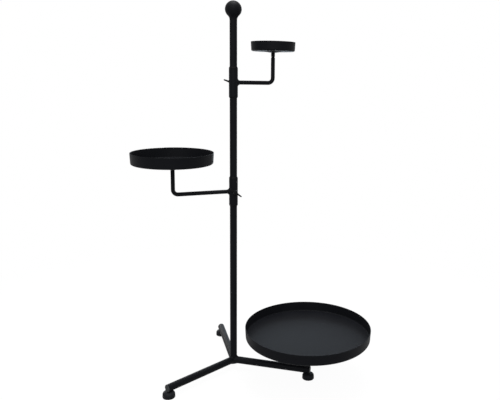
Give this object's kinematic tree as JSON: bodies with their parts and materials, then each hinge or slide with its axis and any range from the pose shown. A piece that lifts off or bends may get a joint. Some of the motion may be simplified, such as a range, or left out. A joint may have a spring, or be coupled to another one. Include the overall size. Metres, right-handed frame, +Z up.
{
  "type": "plant table",
  "caption": "Floor-standing plant table: slim stem on splayed tube legs with a ball finial, a low fixed tray and smaller trays on arms that slide, swivel and clamp.",
  "frame": {"origin": "where the stem's axis meets the floor", "axes": "+Z up along the stem, +X along the leg that carries the lower tray, +Y to its left"},
  "size_m": [0.6094, 0.402, 0.9878],
  "materials": {
    "black_powder_coat": "satin black powder coat",
    "black_fastener_steel": "satin black",
    "black_plastic": "moulded satin",
    "black_nylon": "moulded satin",
    "zinc_plated_steel": "bright zinc"
  },
  "bodies": {
    "stand": {"stem_tube": "black_powder_coat", "ball_finial": "black_powder_coat", "stem_end_plug": "black_plastic", "base_weld": "black_powder_coat", "foot_studs": "zinc_plated_steel", "tray_leg": "black_powder_coat", "tray_leg_end_plug": "black_plastic", "tray_leg_foot": "black_plastic", "rear_leg": "black_powder_coat", "rear_leg_end_plug": "black_plastic", "rear_leg_foot": "black_plastic", "front_leg": "black_powder_coat", "front_leg_end_plug": "black_plastic", "front_leg_foot": "black_plastic", "lower_tray_post": "black_powder_coat", "lower_post_weld": "black_powder_coat", "lower_tray": "black_powder_coat", "lower_tray_flange": "black_powder_coat", "lower_tray_stub": "black_powder_coat", "lower_tray_stud": "zinc_plated_steel"},
    "mid_guides": {"mid_guide_bush_top": "black_nylon", "mid_guide_bush_bottom": "black_nylon"},
    "mid_bracket": {"mid_sleeve": "black_powder_coat", "mid_arm": "black_powder_coat", "mid_arm_weld": "black_powder_coat", "mid_clamp_nut": "black_fastener_steel", "mid_tray": "black_powder_coat", "mid_tray_flange": "black_powder_coat", "mid_tray_stub": "black_powder_coat", "mid_tray_stud": "zinc_plated_steel"},
    "mid_wing_screw": {"mid_wing_screw": "black_fastener_steel"},
    "upper_guides": {"upper_guide_bush_top": "black_nylon", "upper_guide_bush_bottom": "black_nylon"},
    "upper_bracket": {"upper_sleeve": "black_powder_coat", "upper_arm": "black_powder_coat", "upper_arm_weld": "black_powder_coat", "upper_clamp_nut": "black_fastener_steel", "upper_tray": "black_powder_coat", "upper_tray_flange": "black_powder_coat", "upper_tray_stub": "black_powder_coat", "upper_tray_stud": "zinc_plated_steel"},
    "upper_wing_screw": {"upper_wing_screw": "black_fastener_steel"}
  },
  "joints": [
    {"name": "mid_slide", "type": "slide", "parent": "stand", "child": "mid_guides", "axis": [0, 0, 1], "range_m": [-0.3, 0.1]},
    {"name": "mid_swivel", "type": "hinge", "parent": "mid_guides", "child": "mid_bracket", "pos_m": [0, 0, 0.5035], "axis": [0, 0, 1], "continuous": true},
    {"name": "mid_wing_screw_turn", "type": "hinge", "parent": "mid_bracket", "child": "mid_wing_screw", "pos_m": [0, 0, 0.5035], "axis": [0.5807, -0.8141, 0], "range_deg": [0, 450]},
    {"name": "upper_slide", "type": "slide", "parent": "stand", "child": "upper_guides", "axis": [0, 0, 1], "range_m": [-0.06, 0.11]},
    {"name": "upper_swivel", "type": "hinge", "parent": "upper_guides", "child": "upper_bracket", "pos_m": [0, 0, 0.7867], "axis": [0, 0, 1], "continuous": true},
    {"name": "upper_wing_screw_turn", "type": "hinge", "parent": "upper_bracket", "child": "upper_wing_screw", "pos_m": [0, 0, 0.7867], "axis": [-0.6239, 0.7815, 0], "range_deg": [0, 450]}
  ]
}
